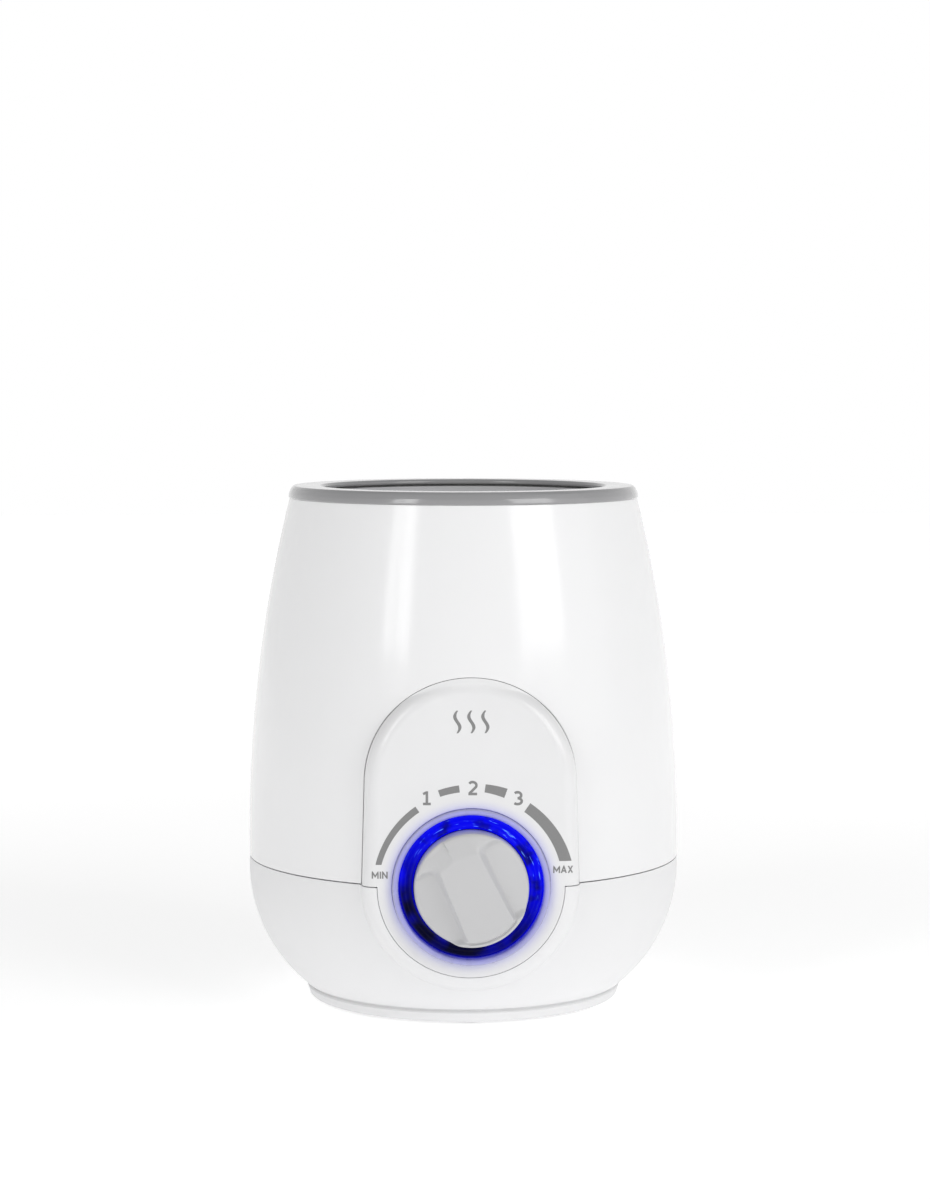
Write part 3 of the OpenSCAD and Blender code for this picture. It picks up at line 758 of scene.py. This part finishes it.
# The other end steps down to the rim, with a crease at the step's foot
BAR_STEP_R = 15.2
BAR_STEP = 0.8
CREASE_R = 16.0
CREASE_HALF = 0.4
CREASE_DEPTH = 0.4
# The faces beside the bar: their step at its foot, their slope, and where they run out
HOLLOW_STEP = 1.5
HOLLOW_SLOPE = radians(19)
HOLLOW_END = 9.0
HOLLOW_FADE = 2.6
HOLLOW_ROOM = 3.0
# The bar's flanks: they spread towards the flat end, and blend into both faces
SPREAD = 1.8
SPREAD_START = 8.5
SPREAD_RUN = 4
BLEND_START = -0.2
BLEND_POWER = 0.8


def smooth_step(t):
    """From 0 to 1 without a corner at either end."""
    t = min(max(t, 0.0), 1.0)
    return t * t * (3 - 2 * t)


def bar_half(v):
    """Half width of the grip bar's top, a little wider towards its blunt end."""
    return BAR_HALF - BAR_GROWTH * v


def hollow_depth(u, v):
    """How far the face beside the bar lies below the rim; it slopes back outwards."""
    reach = (KNOB_R - EDGE) ** 2 - v * v
    rim_u = sqrt(reach) if reach > 0 else 0.0
    if rim_u <= BAR_FOOT:
        return 0.0
    out = max(abs(u) - BAR_FOOT, 0.0)
    upper_end = 1 - smooth_step((v - HOLLOW_END) / HOLLOW_FADE)
    room = smooth_step((rim_u - BAR_FOOT) / HOLLOW_ROOM)
    return (HOLLOW_STEP + out * tan(HOLLOW_SLOPE)) * upper_end * room


def bar_top(u, v):
    """The bar's face: flat, with two slanted facets at the pointer's end."""
    side = u - RIDGE_U
    skew, slope = RIGHT_FACET if side > 0 else LEFT_FACET
    past = v - BAR_END + skew * side
    w = max(KNOB_FRONT - max(past, 0.0) * slope, FACET_FLOOR)
    if v < 0:
        far = hypot(u, v)
        w -= (w - KNOB_RIM) * smooth_step((far - BAR_STEP_R) / BAR_STEP)
        w -= CREASE_DEPTH * max(0.0, 1 - ((far - CREASE_R) / CREASE_HALF) ** 2)
    return w


def knob_height(u, v):
    """Height of the knob's face; v runs along the pointer and u across it."""
    low = KNOB_RIM - hollow_depth(u, v)
    high = bar_top(u, v)
    spread = 1 + SPREAD * smooth_step((v - SPREAD_START) / SPREAD_RUN)
    out = (abs(u) - bar_half(v)) / ((BAR_FOOT - bar_half(v)) * spread)
    part = 1 - smooth_step((out - BLEND_START) / (1 - BLEND_START)) ** BLEND_POWER
    w = low + (high - low) * part
    over = hypot(u, v) - (KNOB_R - EDGE)
    if over > 0:
        w -= EDGE * (1 - sqrt(max(1 - (over / EDGE) ** 2, 0.0)))
    return w


def knob_place(u, v, w):
    """From the knob's own axes to the body's, the pointer turned to the left."""
    c, s = cos(POINTER_TURN), sin(POINTER_TURN)
    return (u * c - v * s, -w, KNOB_Z + u * s + v * c)


def knob_cap():
    """The cap from its hub, round its skirt, to the middle of its face."""
    turns = [2 * pi * k / KNOB_COLUMNS for k in range(KNOB_COLUMNS)]

    def ring(r, w=None):
        spots = [(r * cos(a), r * sin(a)) for a in turns]
        return [knob_place(u, v, knob_height(u, v) if w is None else w) for u, v in spots]

    rows = [ring(HUB_R, INSIDE_W), ring(INSIDE_R, INSIDE_W), ring(INSIDE_R, KNOB_BACK),
            ring(KNOB_R - 0.4, KNOB_BACK), ring(KNOB_R, KNOB_BACK + 0.4), ring(KNOB_R, SKIRT_W)]
    rows += [ring(KNOB_R * (1 - t)) for t in eased(KNOB_ROWS, 1.2)[:-1]]
    sheet = Sheet().grid(rows, closed=True)
    sheet.fan(rows[-1], knob_place(0, 0, knob_height(0, 0)))
    sheet.fan(rows[0], knob_place(0, 0, INSIDE_W))
    obj = sheet.piece("knob_cap", knob_grey, "dial", sharp=50)
    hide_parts("knob")


# ---------------------------------------------------------------- rim and well
def rim():
    """Ring round the mouth with rounded edges and a seat for the well's flange."""
    profile = [(RIM_R - 0.2, SHOULDER_Z), (RIM_R, SHOULDER_Z + 0.3), (RIM_R - 0.2, RIM_TOP_Z - 2.3),
               (RIM_R - 0.9, RIM_TOP_Z - 0.7), (RIM_R - 1.7, RIM_TOP_Z),
               (MOUTH_R + 0.6, RIM_TOP_Z), (MOUTH_R, RIM_TOP_Z - 0.6), (MOUTH_R, SEAT_Z),
               (SEAT_R, SEAT_Z), (SEAT_R, SHOULDER_Z)]
    obj = lathe(rounded(profile, 0.35), upright).piece("rim_cap", rim_grey, sharp=30)
    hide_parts("rim_ring")


def well():
    """Flange, funnel, wall and floor of the well, open over the heating plate."""
    flange_r = SEAT_R - 0.1
    profile = [(PLATE_HOLE_R, WELL_UNDER_Z), (PLATE_HOLE_R, WELL_FLOOR_Z),
               (WELL_FLOOR_R, WELL_FLOOR_Z), (WELL_TOP_R, WELL_TOP_Z), (FUNNEL_R, FUNNEL_Z),
               (FUNNEL_R, FLANGE_Z), (flange_r, FLANGE_Z), (flange_r, SHOULDER_Z),
               (FUNNEL_OUT_R, SHOULDER_Z), (WELL_TOP_R + WELL_WALL, WELL_TOP_Z),
               (WELL_FLOOR_R + WELL_WALL, WELL_UNDER_Z)]
    obj = lathe(rounded(profile, 1.6, 5), upright, 144).piece("water_well", well_grey, sharp=40)
    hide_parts("water_chamber")


# ----------------------------------------------------------------------- print
INK_LIFT = 0.03
INK_BACK = 0.05


def on_panel(x, z, lift=INK_LIFT):
    """A point just off the panel's face, which rounds away towards its sides."""
    inset = front_half_width(min(z, ARCH_Z)) - SEAM - abs(x)
    return (x, face_y(z) + edge_drop(inset) - lift, z)


def ink_band(sheet, left, right, lift=INK_LIFT, across=6):
    """A closed strip of ink between two rows of spots, bent to follow the panel."""
    both = list(zip(left, right))
    top = [[on_panel(*lerp(a, b, k / across), lift) for a, b in both] for k in range(across + 1)]
    under = [[on_panel(*lerp(a, b, k / across), -INK_BACK) for a, b in both]
             for k in range(across, -1, -1)]
    sheet.grid(top + under + [top[0]])
    for end in (0, -1):
        sheet.grid([[row[end] for row in top], [row[end] for row in reversed(under)]])


def ink_strip(name, outer, inner, steps=48):
    """A printed bar between two curves given as functions of 0 to 1."""
    sheet = Sheet()
    ink_band(sheet, *[[f(k / steps) for k in range(steps + 1)] for f in (outer, inner)])
    sheet.piece(name, print_grey)


def scale_arc(name, start, stop, mid_r, thick_start, thick_stop, level_start=False,
              level_stop=False):
    """A bar of the scale, angles in degrees clockwise from straight up; a level end is
    cut along the horizontal instead of across the bar."""
    def radius(sign, t):
        return mid_r + sign * (thick_start + (thick_stop - thick_start) * t) / 2

    def end_angle(angle, r, level):
        side = -1 if angle < 0 else 1
        return side * degrees(acos(mid_r * cos(radians(angle)) / r)) if level else angle

    def edge(sign):
        low = end_angle(start, radius(sign, 0), level_start)
        high = end_angle(stop, radius(sign, 1), level_stop)

        def at(t):
            a = radians(low + (high - low) * t)
            r = radius(sign, t)
            return (r * sin(a), KNOB_Z + r * cos(a))
        return at
    ink_strip(name, edge(1), edge(-1))


def bow(cx, cy, rx, ry, start, stop, n=14):
    """Points of an arc, angles in degrees counted from +X towards +Y."""
    turns = [radians(start + (stop - start) * k / n) for k in range(n + 1)]
    return [(cx + rx * cos(a), cy + ry * sin(a)) for a in turns]


# Strokes of each sign in a box 1 tall: x to the right, y up; a stroke that crosses an
# earlier one lies on it, higher by STROKE_LIFT
STROKE_LIFT = 0.006
SIGNS = {
    "1": [[(0.03, 0.78), (0.30, 0.91)], [(0.30, 0.985), (0.30, 0.07)],
          [(0.02, 0.07), (0.58, 0.07)]],
    "2": [bow(0.30, 0.70, 0.27, 0.24, 150, -35) + [(0.06, 0.10)], [(0.0, 0.08), (0.62, 0.08)]],
    "3": [bow(0.28, 0.71, 0.26, 0.22, 140, -90), bow(0.28, 0.285, 0.30, 0.215, 90, -140)],
    "M": [[(0.06, 0), (0.06, 0.93), (0.45, 0.30), (0.84, 0.93), (0.84, 0)]],
    "I": [[(0.08, 0), (0.08, 1)]],
    "N": [[(0.06, 0), (0.06, 0.93), (0.66, 0.07), (0.66, 1)]],
    "A": [[(0.02, 0), (0.36, 0.96), (0.70, 0)], [(0.14, 0.30), (0.58, 0.30)]],
    "X": [[(0.04, 0), (0.62, 1)], [(0.62, 0), (0.04, 1)]],
}
SIGN_GAP = 0.26


def ribbon(points, width):
    """Both edges of a stroke with mitred corners."""
    left, right = [], []
    last = len(points) - 1
    for i, (x, y) in enumerate(points):
        ways = []
        for a, b in ((i - 1, i), (i, i + 1)):
            if a >= 0 and b <= last:
                dx, dy = points[b][0] - points[a][0], points[b][1] - points[a][1]
                size = hypot(dx, dy)
                ways.append((dx / size, dy / size))
        nx = -sum(w[1] for w in ways) / len(ways)
        ny = sum(w[0] for w in ways) / len(ways)
        grow = min(1 / (nx * nx + ny * ny), 6) * width / 2
        left.append((x + nx * grow, y + ny * grow))
        right.append((x - nx * grow, y - ny * grow))
    return left, right


def finely(points, step=0.25):
    """The same line with more points, so that it can follow the panel's round edge."""
    out = [points[0]]
    for a, b in zip(points, points[1:]):
        n = max(1, round(hypot(b[0] - a[0], b[1] - a[1]) / step))
        out += [lerp(a, b, k / n) for k in range(1, n + 1)]
    return out


def printed_text(name, text, x, z, height, stroke):
    """Printed signs as flat strokes lying on the panel, centred at x and z."""
    widths = [max(p[0] for line in SIGNS[c] for p in line) for c in text]
    pen = -(sum(widths) + SIGN_GAP * (len(text) - 1)) / 2
    sheet = Sheet()
    for sign, width in zip(text, widths):
        for k, line in enumerate(SIGNS[sign]):
            spots = [(x + (pen + px) * height, z + (py - 0.5) * height) for px, py in line]
            left, right = ribbon(finely(spots), stroke)
            ink_band(sheet, left, right, INK_LIFT + STROKE_LIFT * k, across=2)
        pen += width + SIGN_GAP
    sheet.piece(name, print_grey)


WAVE_LOW = 92.6
WAVE_HIGH = 99.4
WAVE_SWING = 0.75
WAVE_THICK = 1.15
WAVE_STEP = 4.2
DIGIT_HEIGHT = 4.2
WORD_HEIGHT = 2.15


def heat_wave(name, x):
    """One rising wavy line of the warming pictogram, thickest in its middle."""
    def edge(sign):
        def at(t):
            z = WAVE_LOW + (WAVE_HIGH - WAVE_LOW) * t
            width = WAVE_THICK * (0.45 + 0.55 * sin(pi * t))
            return (x + WAVE_SWING * sin(2 * pi * t) + sign * width / 2, z)
        return at
    ink_strip(name, edge(-1), edge(1))


def scale_print():
    """The bars of the scale, each thicker than the last, its digits and end words."""
    scale_arc("scale_min", -76, -34.3, 28.75, 1.75, 2.1, level_start=True)
    scale_arc("scale_1_2", -18.8, -6.9, 30.1, 2.05, 2.15)
    scale_arc("scale_2_3", 7.8, 20, 30.3, 2.45, 2.95)
    scale_arc("scale_max", 34.8, 74.6, 29.4, 3.2, 3.6, level_stop=True)
    for sign, x, z, stroke in (("1", -13.4, 73.2, 0.76), ("2", 0.4, 76.1, 0.78),
                               ("3", 13.9, 73.0, 0.78)):
        printed_text("digit_" + sign, sign, x, z, DIGIT_HEIGHT, stroke)
    printed_text("mark_min", "MIN", -27.6, 49.8, WORD_HEIGHT, 0.42)
    printed_text("mark_max", "MAX", 27.6, 51.2, WORD_HEIGHT, 0.42)
    for k in range(3):
        heat_wave("wave_%d" % (k + 1), WAVE_STEP * (k - 1))


# ----------------------------------------------------- CAD nodes that are kept
def dress_cad_nodes():
    """Gives every carried-over CAD node its own procedural finish."""
    steel = metal("steel_turned", rgb(0.62, 0.62, 0.63), 0.28, (1, 1, 6))
    plate = metal("plate_brushed", rgb(0.60, 0.60, 0.61), 0.34, (9, 1, 1), 260)
    finishes = {
        base_white: ["base_plate"],
        rubber("foot_rubber", rgb(0.09, 0.09, 0.095)): ["rubber_feet"],
        rubber("silicone", rgb(0.62, 0.62, 0.60)): ["rim_seal", "plate_seal"],
        plate: ["heating_plate"],
        steel: ["plate_retainer", "retainer_screws", "heater_clamp", "clamp_screws", "knob_shaft",
                "knob_spring", "board_screws", "power_board_screws", "case_screws", "base_screws"],
        moulded("heater_body", rgb(0.63, 0.42, 0.25), 0.6, 700, 0.04,
                drift=0.1): ["ptc_heater"],
        moulded("sensor_black", rgb(0.03, 0.03, 0.03), 0.4, drift=0.1): ["thermistor"],
        moulded("fuse_white", rgb(0.72, 0.71, 0.68), 0.45, drift=0.05): ["thermal_fuse"],
        moulded("baffle_dark", rgb(0.012, 0.012, 0.03), 0.4, drift=0.1): ["light_baffle"],
        metal("pot_metal", rgb(0.45, 0.46, 0.48), 0.35, (6, 1, 1)): ["pot_body"],
        metal("brass", rgb(0.72, 0.50, 0.20), 0.3): ["pot_nut"],
        board_fibre(): ["control_board", "power_board"],
        moulded("led_body", rgb(0.75, 0.75, 0.55), 0.2, drift=0.05): ["leds"],
        moulded("relay_blue", rgb(0.03, 0.13, 0.5), 0.35, drift=0.06): ["relay"],
        moulded("cap_yellow", rgb(0.75, 0.5, 0.05), 0.3, drift=0.06): ["film_capacitor"],
        moulded("cap_blue", rgb(0.02, 0.04, 0.14), 0.25, drift=0.1): ["smoothing_capacitor"],
        moulded("terminal_green", rgb(0.05, 0.32, 0.08), 0.4, drift=0.06): ["terminal_block"],
        rubber("gland_grey", rgb(0.10, 0.10, 0.105)): ["cord_gland"],
        moulded("wire_red", rgb(0.5, 0.03, 0.02), 0.45, drift=0.1): ["heater_leads"],
        moulded("wire_white", rgb(0.7, 0.7, 0.68), 0.45, drift=0.05): ["sensor_leads"],
        moulded("wire_grey", rgb(0.25, 0.25, 0.26), 0.45, drift=0.08): ["board_cable"],
    }
    for material, names in finishes.items():
        for name in names:
            obj = NODES[name]
            if not obj.material_slots:
                obj.data.materials.append(material)
            for place in obj.material_slots:
                place.link = "OBJECT"
                place.material = material


# ------------------------------------------------------------------ the studio
FLOOR_SIZE = 6.0
FLOOR_CELLS = 8
MIDDLE_Z = 0.1
LAMP_DISTANCE = 1.3


def floor():
    """Plain pale paper that glows a little, more so far from the object."""
    step = FLOOR_SIZE / MM / FLOOR_CELLS
    places = [(k - FLOOR_CELLS / 2) * step for k in range(FLOOR_CELLS + 1)]
    s = Shader("floor_paper", rough=0.9)
    s.colour(s.mix(s.noise(8, 3.0), rgb(0.93, 0.93, 0.93), rgb(0.95, 0.95, 0.95)))
    far = s.node("ShaderNodeVectorMath", operation="LENGTH")
    s.feed(far.inputs[0], s.where)
    s.glow(rgb(1.0, 1.0, 1.0), s.ramp(far.outputs["Value"], 0.08, 0.9, 0.38, 0.55))
    rows = [[(x, y, 0) for x in places] for y in places]
    Sheet().grid(rows).placed("floor", s.mat)


def area_light(name, place, wide, tall, power):
    """A soft rectangular lamp at place, aimed at the object's middle, in metres."""
    data = bpy.data.lights.new(name, "AREA")
    data.shape = "RECTANGLE"
    data.size, data.size_y = wide, tall
    data.energy = power
    obj = bpy.data.objects.new(name, data)
    bpy.context.scene.collection.objects.link(obj)
    obj.location = place
    x, y, z = [t - p for t, p in zip((0, 0, MIDDLE_Z), place)]
    obj.rotation_euler = (atan2(hypot(x, y), -z), 0, atan2(-x, y))


def around(turn, rise, distance):
    """A place round the object; turn in degrees from the front towards +X."""
    t, e = radians(turn), radians(rise)
    return (distance * sin(t) * cos(e), -distance * cos(t) * cos(e), MIDDLE_Z + distance * sin(e))


# Brightness of the studio at the horizon and straight up, and the share of it at the left
SKY_LOW = 0.95
SKY_HIGH = 0.26
SKY_LEFT = 0.88
# Each lamp: name, turn and rise in degrees, width and height in metres, and power
LAMPS = (
    ("strip_left_a", -45.0, 24, 0.13, 0.65, 0.9),
    ("strip_left_b", -36.5, 24, 0.18, 0.65, 1.5),
    ("strip_right", 43.5, 24, 0.62, 0.65, 3.7),
    ("key_right", 66, 20, 0.9, 0.9, 0.8),
    ("top", 10, 80, 1.2, 1.2, 0.5),
)
CAMERA_PLACE = (-0.0350, -0.9694, 0.205)
CAMERA_DOWN = 4.58
CAMERA_TURN = -2.1
CAMERA_LENS = 91.1


def studio():
    """White surroundings that light the object less from above and from the left."""
    world = bpy.data.worlds.new("studio")
    bpy.context.scene.world = world
    world.use_nodes = True
    tree = world.node_tree

    def ranged(source, **ends):
        node = tree.nodes.new("ShaderNodeMapRange")
        for socket, value in ends.items():
            node.inputs[socket.replace("_", " ")].default_value = value
        tree.links.new(source, node.inputs["Value"])
        return node

    way = tree.nodes.new("ShaderNodeTexCoord")
    parts = tree.nodes.new("ShaderNodeSeparateXYZ")
    tree.links.new(way.outputs["Generated"], parts.inputs[0])
    sky = ranged(parts.outputs["Z"], To_Min=SKY_LOW, To_Max=SKY_HIGH)
    side = ranged(parts.outputs["X"], From_Min=-1.0, From_Max=0.2, To_Min=SKY_LEFT)
    both = tree.nodes.new("ShaderNodeMath")
    both.operation = "MULTIPLY"
    tree.links.new(sky.outputs["Result"], both.inputs[0])
    tree.links.new(side.outputs["Result"], both.inputs[1])
    rays = tree.nodes.new("ShaderNodeLightPath")
    level = ranged(rays.outputs["Is Camera Ray"])
    tree.links.new(both.outputs[0], level.inputs["To Min"])
    back = tree.nodes["Background"]
    back.inputs["Color"].default_value = rgb(1.0, 1.0, 1.0)
    tree.links.new(level.outputs["Result"], back.inputs["Strength"])
    for name, turn, rise, wide, tall, power in LAMPS:
        area_light(name, around(turn, rise, LAMP_DISTANCE), wide, tall, power)


def camera():
    """Slightly left of the front and a little above, looking slightly down."""
    data = bpy.data.cameras.new("camera")
    data.lens = CAMERA_LENS
    data.sensor_width = 36
    obj = bpy.data.objects.new("camera", data)
    bpy.context.scene.collection.objects.link(obj)
    obj.location = CAMERA_PLACE
    obj.rotation_euler = (radians(90 - CAMERA_DOWN), 0, radians(CAMERA_TURN))
    bpy.context.scene.camera = obj
    bpy.context.scene.view_settings.view_transform = "Standard"


camera()
studio()
floor()
upper_shell()
lower_shell()
front_panel()
bezel()
light_ring()
knob_cap()
rim()
well()
scale_print()
dress_cad_nodes()
